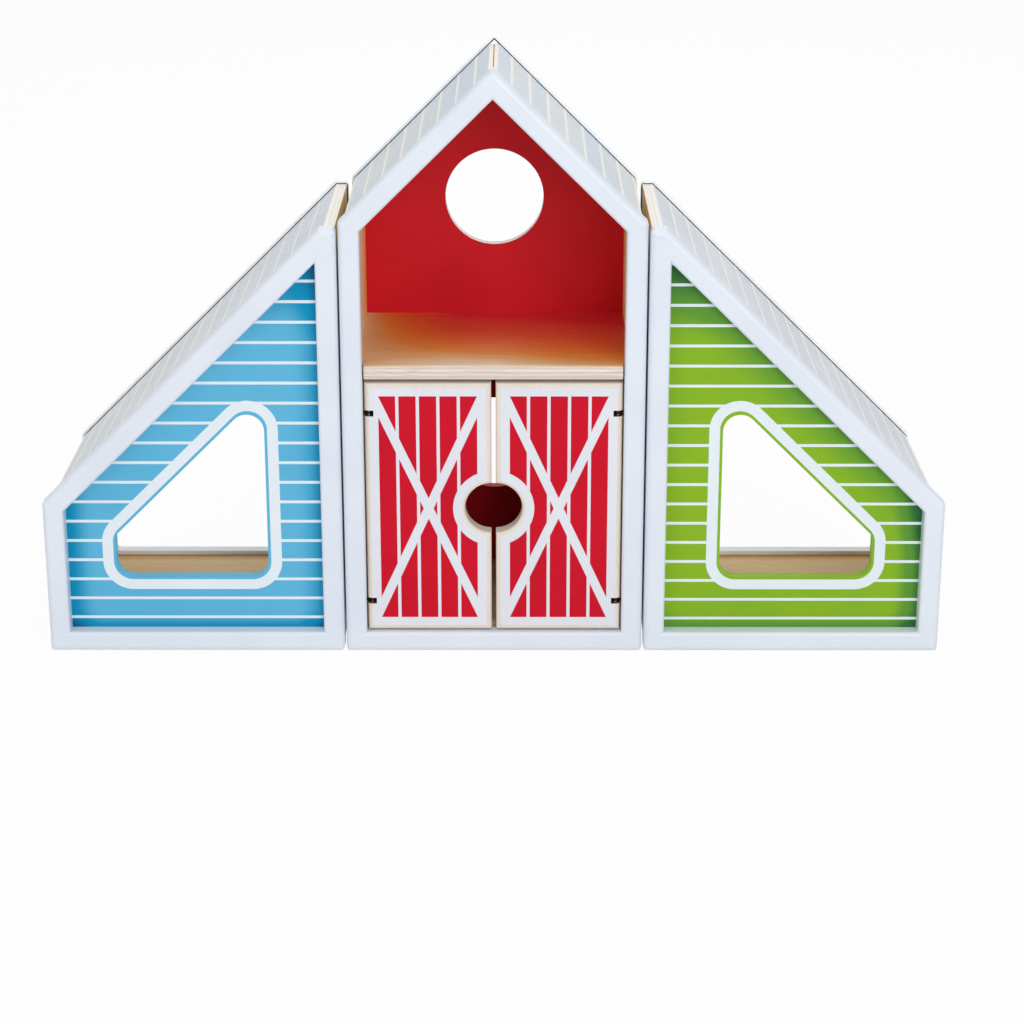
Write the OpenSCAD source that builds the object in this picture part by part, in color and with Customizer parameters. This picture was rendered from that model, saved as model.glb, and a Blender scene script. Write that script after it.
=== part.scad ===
/* [Barn] */
// Width of the barn over its white end frames
barn_w = 200; // [180:1:240]
// Height of the barn's sides, where the roof slopes begin
eave_h = 300; // [285:1:340]
// Depth of barn and wings over the end frames
depth = 140; // [120:1:180]

/* [Wings] */
// Width of one wing over its white end frames
wing_w = 200; // [180:1:240]
// Height of a wing's low outer side
wing_low_h = 107; // [97:1:130]
// Width of the flat top beside a wing's tall side
wing_flat = 11; // [9:1:18]
// Gap between the barn and a wing that is pushed up to it
module_gap = 1.2; // [0.8:0.1:4]

/* [Boards] */
// Thickness of the plywood walls, roofs, panels and floors
ply_t = 7; // [6:0.5:8]
// How far the barn's side walls stand in from the sides of the front frame
wall_inset = 3; // [2:0.5:4]
// How far a wing's low outer wall stands in from the side of the front frame
wing_wall_inset = 6; // [4:0.5:6.5]
// How far a wing's tall wall stands in from the side next to the barn
party_inset = 1.5; // [1.2:0.1:3]
// How far the roofs lie below the slopes of the front frames
roof_drop = 3; // [2:0.5:4]
// Width of each bare strip along the flattened ridge
ridge_strip = 3.2; // [2:0.2:5]
// Gap of the seam between the two roof boards
ridge_seam = 0.5; // [0.2:0.1:1]

/* [End frames] */
// Width of the front frame's bars, seen from the front
bar_w = 14; // [13:0.5:16]
// Width of the rear frame's bars
rear_bar_w = 14; // [12:0.5:18]
// Thickness of the front frames, front to back
frame_t = 10; // [9:0.5:12]
// Thickness of the rear frames, front to back
rear_t = 8; // [7:0.5:10]
// How far the rear frames stand proud of walls and roofs
rear_proud = 2; // [1:0.5:2]
// How far a wing's rear frame stands proud on the side next to the barn
rear_party_proud = 1; // [0.5:0.1:1]
// How far the rear frame's bottom bar stands above the floor boards
rear_rail_up = 3; // [1:0.5:6]
// Radius of the long outer edges
outer_round = 4; // [2:0.5:5]
// Radius of the edges round the opening
inner_round = 2.5; // [1:0.5:3]
// Radius of the frame's corners, seen from the front
corner_round = 4; // [2:0.5:6]
// Radius at the tip of the gable
tip_round = 1; // [1:0.5:6]
// Radius of the corners of the rear frame's opening
rear_corner_round = 11; // [4:0.5:14]

/* [Doors] */
// Height of the doors
door_h = 176; // [150:1:180]
// Thickness of the doors
door_t = 10; // [9:0.5:12]
// How far the doors' faces lie behind the face of the front frame
door_recess = 4; // [2:0.5:5]
// Gap between a door and the frame on the hinge side
door_side_gap = 0.8; // [0.6:0.1:1.5]
// Gap between the two doors where they meet
door_mid_gap = 3; // [1:0.5:5]
// Gap under the doors
door_foot_gap = 1; // [0.5:0.1:1.2]
// Gap between the doors and the loft board above them
door_head_gap = 2; // [1.5:0.5:5]
// Gap between the closed doors' backs and the step in the floor that stops them
door_stop_gap = 0.5; // [0.5:0.1:1]
// Radius of the doors' front edges
door_round = 2; // [1:0.5:2.5]
// Radius of the doors' back edges
door_back_round = 1; // [0.5:0.5:2]
// Radius of the half round finger notch in each door
finger_r = 17.5; // [14:0.5:22]

/* [Hinges] */
// Distance of the hinge axis from the door's edge and from its face
hinge_in = 3; // [2.8:0.1:3.6]
// Distance of each hinge from the end of the door
hinge_from_end = 21; // [16:1:28]
// Height of the notch that a hinge sits in
notch_h = 4; // [3.6:0.2:6]
// Radius of the hinge pins
pin_r = 1; // [0.8:0.1:1.2]
// Length of pin past the notch
pin_tail = 8; // [5:1:12]
// Thickness of the hinge eyes
eye_t = 2.4; // [1.6:0.2:3]
// Radius of the shank that holds an eye in the frame
shank_r = 0.9; // [0.6:0.1:1]
// Depth of the shank in the frame
shank_in = 8; // [6:0.5:11]

/* [Barn windows] */
// Radius of the two round windows in the back panel
round_window_r = 34; // [25:1:38]
// Height of the lower round window's centre above the floor board
low_window_up = 90; // [75:1:100]
// Height of the upper round window's centre above the loft board
high_window_up = 84; // [70:1:88]

/* [Wing windows] */
// Distance of the window from the side next to the barn
window_from_inner = 51; // [45:1:58]
// Distance of the window from the wing's low outer side
window_from_outer = 46.5; // [42:0.5:52]
// Height of the window's lower edge
window_sill = 51; // [42:1:56]
// Distance of the window's slanted edge from the slope of the frame
window_from_slope = 51.4; // [48:0.1:56]
// Radius of the window's lower corners
window_round = 11; // [6:0.5:12]
// Radius of the window's top corner
window_top_round = 11.5; // [6:0.5:14]
// Radius of the blunt corner under the slanted edge
window_blunt_round = 5; // [2:0.5:8]

/* [Loft and floors] */
// Thickness of the loft board
loft_t = 10; // [8:0.5:12]
// How far the loft board's nose lies behind the face of the front frame
loft_recess = 3; // [1:0.5:5]
// Radius of the nose's edges
loft_round = 3.5; // [1:0.5:3.5]
// Gap between the nose and the frame at each end
loft_end_gap = 1; // [0.5:0.5:2]
// How far the floor boards stand above the front frame's bottom bar
floor_step = 2; // [1.5:0.5:3]

/* [Fasteners] */
// Radius of the wooden dowels between frames and boards
dowel_r = 2; // [1.5:0.1:2.5]
// Depth of a dowel in the frame
dowel_in_frame = 5.5; // [4:0.5:6]
// Depth of a dowel in the board
dowel_in_board = 12; // [8:1:20]
// Distance of a dowel from the end of its board
dowel_from_end = 60; // [52:1:66]
// Radius of the screws' shanks
screw_r = 1.2; // [0.8:0.1:1.5]
// Radius of the screws' countersunk heads
screw_head_r = 2.5; // [2:0.1:3]
// Height of a countersunk head
screw_head_h = 1.8; // [1:0.1:2.5]
// Length of the screws
screw_len = 22; // [16:1:30]
// Distance of the screws from the middle of the depth
screw_from_mid = 40; // [25:1:45]

/* [Clearances] */
// Running clearance of a pin in its eye, on the radius
pin_run = 0.06; // [0.02:0.01:0.1]
// Clearance round a fixed pin, shank, dowel or screw, on the radius
seat_clear = 0.03; // [0.01:0.01:0.1]
// Clearance between an eye's rim and the sides of its notch
eye_clear = 0.5; // [0.3:0.1:0.8]

/* [Hidden] */
$fn = 72;

// A cut runs this far past the faces that it goes through
over = 1;
// Longer than anything in the model, for the blanks that the shapes are cut from
reach = 2 * (barn_w + eave_h + wing_w);
// Round corners bulge this little past the edges that they join, so that they cross cleanly
bulge = 0.003;
// A 45 degree slope is this much longer than its rise
diag = sqrt(2);

painted_white = "#e0e6f3";
plywood = "#ecd9b8";
roof_grey = "#c9d3dc";
barn_red = "#a81b22";
door_red = "#cc142a";
wing_blue = "#54aedc";
wing_green = "#8bb41e";
dark_steel = "#3a3634";
bright_steel = "#b9bcc0";
beech = "#d8b78c";

half_w = barn_w / 2;
apex_h = eave_h + half_w;
front_y = -depth / 2;
rear_y = depth / 2;
boards_front = front_y + frame_t;
boards_rear = rear_y - rear_t;

// Sum of x and height along the barn's slope lines
barn_slope = apex_h;
barn_roof_top = barn_slope - roof_drop * diag;
barn_roof_under = barn_roof_top - ply_t * diag;
ridge_h = barn_roof_top - ridge_strip;
wall_out = half_w - wall_inset;
wall_in = wall_out - ply_t;
opening_half = half_w - bar_w;

barn_outline = [
    [-half_w, 0], [half_w, 0], [half_w, eave_h], [0, apex_h], [-half_w, eave_h]
];
barn_outline_radii = [corner_round, corner_round, corner_round, tip_round, corner_round];
barn_opening = [
    [-opening_half, bar_w],
    [opening_half, bar_w],
    [opening_half, barn_slope - bar_w * diag - opening_half],
    [0, barn_slope - bar_w * diag],
    [-opening_half, barn_slope - bar_w * diag - opening_half]
];

rear_half_w = wall_out + rear_proud;
rear_slope = barn_roof_top + rear_proud * diag;
rear_opening_half = rear_half_w - rear_bar_w;
rear_inner_slope = rear_slope - rear_bar_w * diag;
rear_sill = bar_w + floor_step + rear_rail_up;
barn_rear_outline = [
    [-rear_half_w, 0],
    [rear_half_w, 0],
    [rear_half_w, rear_slope - rear_half_w],
    [0, rear_slope],
    [-rear_half_w, rear_slope - rear_half_w]
];
barn_rear_opening = [
    [-rear_opening_half, rear_sill],
    [rear_opening_half, rear_sill],
    [rear_opening_half, rear_inner_slope - rear_opening_half],
    [0, rear_inner_slope],
    [-rear_opening_half, rear_inner_slope - rear_opening_half]
];

floor_top = bar_w + floor_step;
floor_up = floor_top - ply_t;
door_w = opening_half - door_side_gap - door_mid_gap / 2;
door_bottom = bar_w + door_foot_gap;
door_top = door_bottom + door_h;
door_mid_z = door_bottom + door_h / 2;
door_face = front_y + door_recess;
door_edge_x = -opening_half + door_side_gap;
step_y = door_face + door_t + door_stop_gap;
loft_bottom = door_top + door_head_gap;
loft_top = loft_bottom + loft_t;
low_window_z = floor_top + low_window_up;
high_window_z = loft_top + high_window_up;
panel_front = boards_rear - ply_t;

hinge_x = door_edge_x + hinge_in;
hinge_y = door_face + hinge_in;
hinge_heights = [door_bottom + hinge_from_end, door_top - hinge_from_end];
eye_r = hinge_in - eye_clear;
eye_bore_r = pin_r + pin_run;
// The shank starts inside the wall of the ring, clear of its bore
shank_start = (eye_bore_r + eye_r) / 2;
shank_end = hinge_in + door_side_gap + shank_in;
// The pins end this far inside the door's edge
pin_sunk = 0.5;

// Places in a wing are measured outwards from its side next to the barn
wing_x0 = half_w + module_gap;
wing_slope = wing_w + wing_low_h;
wing_tall_h = wing_slope - wing_flat;
wing_roof_top = wing_slope - roof_drop * diag;
wing_roof_under = wing_roof_top - ply_t * diag;
party_in = party_inset + ply_t;
wing_wall_out = wing_w - wing_wall_inset;
wing_wall_in = wing_wall_out - ply_t;
wing_inner_slope = wing_slope - bar_w * diag;
panel_back = boards_front + ply_t;

wing_outline = [
    [0, 0], [wing_w, 0], [wing_w, wing_low_h], [wing_flat, wing_tall_h], [0, wing_tall_h]
];
wing_outline_radii = [corner_round, corner_round, corner_round, tip_round, corner_round];
wing_opening = [
    [bar_w, bar_w],
    [wing_w - bar_w, bar_w],
    [wing_w - bar_w, wing_inner_slope - (wing_w - bar_w)],
    [bar_w, wing_inner_slope - bar_w]
];
wing_rear_in = party_inset - rear_party_proud;
wing_rear_out = wing_wall_out + rear_proud;
wing_rear_slope = wing_roof_top + rear_proud * diag;
wing_rear_outline = [
    [wing_rear_in, 0],
    [wing_rear_out, 0],
    [wing_rear_out, wing_rear_slope - wing_rear_out],
    [wing_rear_slope - wing_tall_h, wing_tall_h],
    [wing_rear_in, wing_tall_h]
];
wing_rear_inner_slope = wing_rear_slope - rear_bar_w * diag;
wing_rear_opening = [
    [wing_rear_in + rear_bar_w, rear_sill],
    [wing_rear_out - rear_bar_w, rear_sill],
    [wing_rear_out - rear_bar_w, wing_rear_inner_slope - wing_rear_out + rear_bar_w],
    [wing_rear_in + rear_bar_w, wing_rear_inner_slope - wing_rear_in - rear_bar_w]
];
window_right = wing_w - window_from_outer;
window_slope = wing_slope - window_from_slope * diag;
wing_window = [
    [window_from_inner, window_sill],
    [window_right, window_sill],
    [window_right, window_slope - window_right],
    [window_from_inner, window_slope - window_from_inner]
];
wing_window_radii = [window_round, window_round, window_blunt_round, window_top_round];

dowel_len = dowel_in_frame + dowel_in_board;
barn_wall_h = barn_roof_under - wall_out;
// Middle planes of the boards, where the dowels lie
barn_wall_mid = (wall_in + wall_out) / 2;
barn_roof_mid = (barn_roof_top + barn_roof_under) / 2;
wing_party_mid = (party_inset + party_in) / 2;
wing_wall_mid = (wing_wall_in + wing_wall_out) / 2;
wing_roof_mid = (wing_roof_top + wing_roof_under) / 2;
// Dowel places in the barn's right half, as x and height
barn_dowels_right = [
    [barn_wall_mid, dowel_from_end],
    [barn_wall_mid, barn_wall_h - dowel_from_end],
    [wall_out - dowel_from_end / diag, barn_roof_mid - wall_out + dowel_from_end / diag],
    [dowel_from_end / diag, barn_roof_mid - dowel_from_end / diag]
];
barn_dowel_places = concat(
    barn_dowels_right,
    [for (p = barn_dowels_right) [-p.x, p.y]]
);
wing_dowel_places = [
    [wing_party_mid, dowel_from_end],
    [wing_party_mid, wing_tall_h - dowel_from_end],
    [wing_wall_mid, (wing_roof_under - wing_wall_out) / 2],
    [party_in + dowel_from_end / diag, wing_roof_mid - party_in - dowel_from_end / diag],
    [wing_wall_out - dowel_from_end / diag,
     wing_roof_mid - wing_wall_out + dowel_from_end / diag]
];

function unit(v) = v / norm(v);
// Half the angle at p between the lines to a and b
function half_angle(a, p, b) = acos(unit(a - p) * unit(b - p)) / 2;
function corner_centre(a, p, b, r) =
    p + unit(unit(a - p) + unit(b - p)) * r / sin(half_angle(a, p, b));
function corner_touch(a, p, b, r) = p + unit(a - p) * r / tan(half_angle(a, p, b));

// What has to go from a corner to leave it round
module corner_nick(a, p, b, r) {
    c = corner_centre(a, p, b, r);
    ta = corner_touch(a, p, b, r);
    tb = corner_touch(b, p, a, r);
    difference() {
        polygon([c, ta + (ta - c) / 2, p + (p - c), tb + (tb - c) / 2]);
        translate(c) circle(r + bulge);
    }
}

// A convex outline with true round corners
module round_outline(points, radii) {
    n = len(points);
    difference() {
        polygon(points);
        for (i = [0:n - 1])
            corner_nick(points[(i + n - 1) % n], points[i], points[(i + 1) % n], radii[i]);
    }
}

// Sweeps a profile along the edge from p to q; the profile's x points into the outline
module along_edge(p, q) {
    heading = atan2(q.y - p.y, q.x - p.x) + 90;
    translate([p.x, p.y, 0])
        rotate([0, 0, heading])
            rotate([90, 0, 0])
                translate([0, 0, -reach])
                    linear_extrude(2 * reach + norm(q - p)) children();
}

// Half space profile whose front edge is rounded off
module rounded_edge_profile(t, r) {
    difference() {
        square([reach, t]);
        difference() {
            translate([-over, -over]) square(r + over);
            translate([r, r]) circle(r);
        }
    }
}

// Profile of a cut whose front edge opens out in a quarter round
module flared_edge_profile(t, r) {
    union() {
        translate([0, -over]) square([reach, t + 2 * over]);
        difference() {
            translate([-r, -over]) square([r + over, r + over]);
            translate([-r, r]) circle(r);
        }
    }
}

// A flat board lying on its face, with its thickness along z and its outer edges rounded
module flat_board(outline, radii, t) {
    n = len(outline);
    intersection() {
        linear_extrude(t) round_outline(outline, radii);
        intersection_for (i = [0:n - 1])
            along_edge(outline[i], outline[(i + 1) % n]) rounded_edge_profile(t, outer_round);
    }
}

// A front frame has square inner corners and rounded edges round its opening
module front_frame_blank(outline, radii, opening) {
    m = len(opening);
    difference() {
        flat_board(outline, radii, frame_t);
        intersection_for (i = [0:m - 1])
            along_edge(opening[i], opening[(i + 1) % m])
                flared_edge_profile(frame_t, inner_round);
    }
}

// A rear frame has an opening with round corners
module rear_frame_blank(outline, radii, opening) {
    difference() {
        flat_board(outline, radii, rear_t);
        translate([0, 0, -over])
            linear_extrude(rear_t + 2 * over)
                round_outline(opening, [for (p = opening) rear_corner_round]);
    }
}

// Stands a flat frame up as the front or the rear end of its module
module at_front() {
    translate([0, front_y, 0]) mirror([0, 1, 0]) rotate([90, 0, 0]) children();
}
module at_rear() {
    translate([0, rear_y, 0]) rotate([90, 0, 0]) children();
}

// Runs an x and height section from y0 back to y1
module run_back(y0, y1) {
    translate([0, y1, 0]) rotate([90, 0, 0]) linear_extrude(y1 - y0) children();
}

// Right wing places: the wing stands beside the barn, and the left one is its mirror image
module right_place() {
    translate([wing_x0, 0, 0]) children();
}
module left_place() {
    mirror([1, 0, 0]) right_place() children();
}

// Dowels at both ends of the boards, or the holes for them
module dowel_rods(places, r, extra) {
    for (p = places) {
        translate([p.x, boards_front - dowel_in_frame - extra, p.y])
            rotate([-90, 0, 0]) cylinder(r = r, h = dowel_len + 2 * extra);
        translate([p.x, boards_rear - dowel_in_board - extra, p.y])
            rotate([-90, 0, 0]) cylinder(r = r, h = dowel_len + 2 * extra);
    }
}
module dowel_holes(places) {
    dowel_rods(places, dowel_r + seat_clear, seat_clear);
}

// A countersunk screw along +x with its head's face at the origin
module screw() {
    cross_w = screw_head_r / 4;
    cross_l = screw_head_r * 1.1;
    cross_d = screw_head_h / 2;
    tip_h = 2 * screw_r;
    rotate([0, 90, 0])
        difference() {
            union() {
                cylinder(r1 = screw_head_r, r2 = screw_r, h = screw_head_h);
                cylinder(r = screw_r, h = screw_len - tip_h);
                translate([0, 0, screw_len - tip_h])
                    cylinder(r1 = screw_r, r2 = screw_r / 5, h = tip_h);
            }
            for (turn = [0, 90])
                rotate([0, 0, turn])
                    translate([-cross_l / 2, -cross_w / 2, -over])
                        cube([cross_l, cross_w, cross_d + over]);
        }
}

// The hole that a screw is driven into
module screw_hole() {
    r = screw_r + seat_clear;
    head_r = screw_head_r + seat_clear;
    rotate([0, 90, 0])
        union() {
            translate([0, 0, -over]) cylinder(r = head_r, h = over);
            cylinder(r1 = head_r, r2 = r, h = screw_head_h + seat_clear);
            cylinder(r = r, h = screw_len + seat_clear);
        }
}

// Screws or their holes through both side walls of the barn into floor and loft board
module at_barn_screws() {
    for (side = [0, 1], y = [-screw_from_mid, screw_from_mid])
        for (z = [floor_up + ply_t / 2, loft_bottom + loft_t / 2])
            mirror([side, 0, 0]) translate([wall_out, y, z]) mirror([1, 0, 0]) children();
}

// Screws or their holes through both walls of a wing into its floor
module at_wing_screws() {
    for (y = [-screw_from_mid, screw_from_mid]) {
        translate([party_inset, y, floor_up + ply_t / 2]) children();
        translate([wing_wall_out, y, floor_up + ply_t / 2]) mirror([1, 0, 0]) children();
    }
}

module eye_shank_holes() {
    for (side = [0, 1], z = hinge_heights)
        mirror([side, 0, 0])
            translate([-opening_half - shank_in - seat_clear, hinge_y, z])
                rotate([0, 90, 0])
                    cylinder(r = shank_r + seat_clear, h = shank_in + seat_clear + over);
}

module barn_front_frame() {
    color(painted_white)
        difference() {
            at_front() front_frame_blank(barn_outline, barn_outline_radii, barn_opening);
            dowel_holes(barn_dowel_places);
            eye_shank_holes();
        }
}

module barn_rear_frame() {
    color(painted_white)
        difference() {
            at_rear() rear_frame_blank(barn_rear_outline, barn_outline_radii, barn_rear_opening);
            dowel_holes(barn_dowel_places);
        }
}

module barn_back_panel() {
    color(barn_red)
        difference() {
            run_back(panel_front, boards_rear)
                polygon([
                    [-wall_in, 0],
                    [wall_in, 0],
                    [wall_in, barn_roof_under - wall_in],
                    [0, barn_roof_under],
                    [-wall_in, barn_roof_under - wall_in]
                ]);
            for (z = [low_window_z, high_window_z])
                translate([0, panel_front - over, z])
                    rotate([-90, 0, 0]) cylinder(r = round_window_r, h = ply_t + 2 * over);
        }
}

module barn_floor() {
    color(plywood)
        difference() {
            translate([-wall_in, boards_front, floor_up])
                cube([2 * wall_in, panel_front - boards_front, ply_t]);
            translate([-wall_in - over, boards_front - over, bar_w])
                cube([2 * (wall_in + over), step_y - boards_front + over, floor_step + over]);
            at_barn_screws() screw_hole();
        }
}

module barn_wall_right() {
    difference() {
        run_back(boards_front, boards_rear)
            polygon([
                [wall_in, 0],
                [wall_out, 0],
                [wall_out, barn_roof_under - wall_out],
                [wall_in, barn_roof_under - wall_in]
            ]);
        dowel_holes(barn_dowel_places);
        at_barn_screws() screw_hole();
    }
}
module barn_right_wall() { color(plywood) barn_wall_right(); }
module barn_left_wall() { color(plywood) mirror([1, 0, 0]) barn_wall_right(); }

module barn_roof_right() {
    seam = ridge_seam / 2;
    difference() {
        run_back(boards_front, boards_rear)
            polygon([
                [seam, ridge_h],
                [ridge_strip, ridge_h],
                [wall_out, barn_roof_top - wall_out],
                [wall_out, barn_roof_under - wall_out],
                [seam, barn_roof_under - seam]
            ]);
        dowel_holes(barn_dowel_places);
    }
}
module barn_right_roof() { color(roof_grey) barn_roof_right(); }
module barn_left_roof() { color(roof_grey) mirror([1, 0, 0]) barn_roof_right(); }

// The loft board fills the space between the walls and pokes a round nose into the frame
module loft_board() {
    nose_y = front_y + loft_recess;
    nose_half = opening_half - loft_end_gap;
    color(plywood)
        difference() {
            intersection() {
                translate([0, 0, loft_bottom])
                    linear_extrude(loft_t)
                        polygon([
                            [-nose_half, nose_y],
                            [nose_half, nose_y],
                            [nose_half, boards_front],
                            [wall_in, boards_front],
                            [wall_in, panel_front],
                            [-wall_in, panel_front],
                            [-wall_in, boards_front],
                            [-nose_half, boards_front]
                        ]);
                translate([-half_w, 0, 0])
                    rotate([90, 0, 90])
                        linear_extrude(barn_w)
                            difference() {
                                translate([nose_y, loft_bottom])
                                    square([panel_front - nose_y, loft_t]);
                                loft_nose_nicks(nose_y);
                            }
            }
            at_barn_screws() screw_hole();
        }
}
module loft_nose_nicks(nose_y) {
    low = [nose_y, loft_bottom];
    high = [nose_y, loft_top];
    back_low = [panel_front, loft_bottom];
    back_high = [panel_front, loft_top];
    corner_nick(high, low, back_low, loft_round);
    corner_nick(low, high, back_high, loft_round);
}

module barn_dowels() {
    color(beech) dowel_rods(barn_dowel_places, dowel_r, 0);
}

module barn_screws() {
    color(bright_steel) at_barn_screws() screw();
}

// The left door, with its hinge side at door_edge_x and its face at door_face
module door_blank() {
    plan = [[0, 0], [door_w, 0], [door_w, door_t], [0, door_t]];
    side = [[0, 0], [door_t, 0], [door_t, door_h], [0, door_h]];
    translate([door_edge_x, door_face, door_bottom])
        intersection() {
            linear_extrude(door_h)
                round_outline(plan, [hinge_in, door_round, door_back_round, door_back_round]);
            rotate([90, 0, 90])
                linear_extrude(door_w)
                    round_outline(side, [door_round, door_back_round,
                                         door_back_round, door_round]);
        }
}

// Half round finger notch with a softened front rim, centred on the door's free edge
module finger_notch() {
    translate([door_edge_x + door_w, door_face, door_mid_z])
        rotate([-90, 0, 0])
            union() {
                translate([0, 0, -over]) cylinder(r = finger_r, h = door_t + 2 * over);
                rotate_extrude()
                    difference() {
                        translate([finger_r - over, -over])
                            square([door_round + over, door_round + over]);
                        translate([finger_r + door_round, door_round]) circle(door_round);
                    }
            }
}

// The stretch of height that a pin lies in, for the lower and the upper hinge
pin_reach = notch_h / 2 + pin_tail;
pin_ends = [
    [door_bottom + pin_sunk, hinge_heights[0] + pin_reach],
    [hinge_heights[1] - pin_reach, door_top - pin_sunk]
];

module hinge_cuts() {
    for (i = [0, 1]) {
        translate([door_edge_x - over, door_face - over, hinge_heights[i] - notch_h / 2])
            cube([2 * hinge_in + over, 2 * hinge_in + over, notch_h]);
        low = i == 0 ? door_bottom - over : pin_ends[i][0] - seat_clear;
        high = i == 0 ? pin_ends[i][1] + seat_clear : door_top + over;
        translate([hinge_x, hinge_y, low]) cylinder(r = pin_r + seat_clear, h = high - low);
    }
}

module door_left() {
    difference() {
        door_blank();
        finger_notch();
        hinge_cuts();
    }
}
module left_door() { color(door_red) door_left(); }
module right_door() { color(door_red) mirror([1, 0, 0]) door_left(); }

module pins_left() {
    for (ends = pin_ends)
        translate([hinge_x, hinge_y, ends[0]]) cylinder(r = pin_r, h = ends[1] - ends[0]);
}
module left_hinge_pins() { color(bright_steel) pins_left(); }
module right_hinge_pins() { color(bright_steel) mirror([1, 0, 0]) pins_left(); }

// A steel eye on a plain shank that is pressed into the side of the frame's opening
module eyes_left() {
    for (z = hinge_heights)
        translate([hinge_x, hinge_y, z])
            union() {
                translate([0, 0, -eye_t / 2])
                    difference() {
                        cylinder(r = eye_r, h = eye_t);
                        translate([0, 0, -over]) cylinder(r = eye_bore_r, h = eye_t + 2 * over);
                    }
                translate([-shank_end, 0, 0])
                    rotate([0, 90, 0]) cylinder(r = shank_r, h = shank_end - shank_start);
            }
}
module left_hinge_eyes() { color(dark_steel) eyes_left(); }
module right_hinge_eyes() { color(dark_steel) mirror([1, 0, 0]) eyes_left(); }

module wing_front_frame() {
    color(painted_white)
        difference() {
            at_front() front_frame_blank(wing_outline, wing_outline_radii, wing_opening);
            dowel_holes(wing_dowel_places);
        }
}

module wing_rear_frame() {
    color(painted_white)
        difference() {
            at_rear() rear_frame_blank(wing_rear_outline, wing_outline_radii, wing_rear_opening);
            dowel_holes(wing_dowel_places);
        }
}

module wing_front_panel(paint) {
    color(paint)
        difference() {
            run_back(boards_front, panel_back)
                polygon([
                    [party_in, 0],
                    [wing_wall_in, 0],
                    [wing_wall_in, wing_roof_under - wing_wall_in],
                    [party_in, wing_roof_under - party_in]
                ]);
            run_back(boards_front - over, panel_back + over)
                round_outline(wing_window, wing_window_radii);
        }
}

module wing_floor() {
    color(plywood)
        difference() {
            translate([party_in, panel_back, floor_up])
                cube([wing_wall_in - party_in, boards_rear - panel_back, ply_t]);
            at_wing_screws() screw_hole();
        }
}

module wing_inner_wall() {
    color(plywood)
        difference() {
            translate([party_inset, boards_front, 0])
                cube([ply_t, boards_rear - boards_front, wing_roof_top - party_in]);
            dowel_holes(wing_dowel_places);
            at_wing_screws() screw_hole();
        }
}

module wing_outer_wall() {
    color(plywood)
        difference() {
            run_back(boards_front, boards_rear)
                polygon([
                    [wing_wall_in, 0],
                    [wing_wall_out, 0],
                    [wing_wall_out, wing_roof_under - wing_wall_out],
                    [wing_wall_in, wing_roof_under - wing_wall_in]
                ]);
            dowel_holes(wing_dowel_places);
            at_wing_screws() screw_hole();
        }
}

module wing_roof() {
    color(roof_grey)
        difference() {
            run_back(boards_front, boards_rear)
                polygon([
                    [party_in, wing_roof_under - party_in],
                    [wing_wall_out, wing_roof_under - wing_wall_out],
                    [wing_wall_out, wing_roof_top - wing_wall_out],
                    [party_in, wing_roof_top - party_in]
                ]);
            dowel_holes(wing_dowel_places);
        }
}

module wing_dowels() {
    color(beech) dowel_rods(wing_dowel_places, dowel_r, 0);
}

module wing_screws() {
    color(bright_steel) at_wing_screws() screw();
}

barn_front_frame();
barn_rear_frame();
barn_back_panel();
barn_floor();
barn_left_wall();
barn_right_wall();
barn_left_roof();
barn_right_roof();
loft_board();
barn_dowels();
barn_screws();
left_door();
right_door();
left_hinge_pins();
right_hinge_pins();
left_hinge_eyes();
right_hinge_eyes();
left_place() wing_front_frame();  // left_wing_front_frame
left_place() wing_rear_frame();  // left_wing_rear_frame
left_place() wing_front_panel(wing_blue);  // left_wing_front_panel
left_place() wing_floor();  // left_wing_floor
left_place() wing_inner_wall();  // left_wing_inner_wall
left_place() wing_outer_wall();  // left_wing_outer_wall
left_place() wing_roof();  // left_wing_roof
left_place() wing_dowels();  // left_wing_dowels
left_place() wing_screws();  // left_wing_screws
right_place() wing_front_frame();  // right_wing_front_frame
right_place() wing_rear_frame();  // right_wing_rear_frame
right_place() wing_front_panel(wing_green);  // right_wing_front_panel
right_place() wing_floor();  // right_wing_floor
right_place() wing_inner_wall();  // right_wing_inner_wall
right_place() wing_outer_wall();  // right_wing_outer_wall
right_place() wing_roof();  // right_wing_roof
right_place() wing_dowels();  // right_wing_dowels
right_place() wing_screws();  // right_wing_screws
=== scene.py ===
"""Looks of the toy barn: finishes, small hardware, stage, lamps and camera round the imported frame.

Places and sizes on the barn are in millimetres. The camera, the floor and the lamps are in metres.
"""

import logging
import math
from dataclasses import dataclass
from enum import Enum
from functools import partial, reduce
from typing import Optional, Union

import bpy
from bpy.types import Material, Node, NodeSocket, NodeTree, Object
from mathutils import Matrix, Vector


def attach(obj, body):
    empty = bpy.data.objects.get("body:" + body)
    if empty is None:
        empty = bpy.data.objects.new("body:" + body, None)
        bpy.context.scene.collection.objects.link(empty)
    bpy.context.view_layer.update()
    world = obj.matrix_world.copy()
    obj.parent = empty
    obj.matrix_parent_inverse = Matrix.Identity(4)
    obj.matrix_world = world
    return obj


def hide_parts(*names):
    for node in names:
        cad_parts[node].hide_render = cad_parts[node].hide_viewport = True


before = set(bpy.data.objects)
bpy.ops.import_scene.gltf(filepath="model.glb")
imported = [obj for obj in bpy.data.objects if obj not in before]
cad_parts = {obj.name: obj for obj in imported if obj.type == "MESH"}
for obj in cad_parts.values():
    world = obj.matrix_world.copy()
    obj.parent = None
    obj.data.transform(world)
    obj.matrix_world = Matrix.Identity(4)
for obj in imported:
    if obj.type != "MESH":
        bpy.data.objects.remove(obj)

logging.basicConfig(level=logging.INFO, format="%(name)s: %(message)s")
log = logging.getLogger("toy_barn")

Colour = tuple[float, float, float, float]
Direction = tuple[float, float, float]
Tints = tuple[tuple[float, Colour], ...]
Feed = Union[float, Colour, Direction, NodeSocket]

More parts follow.
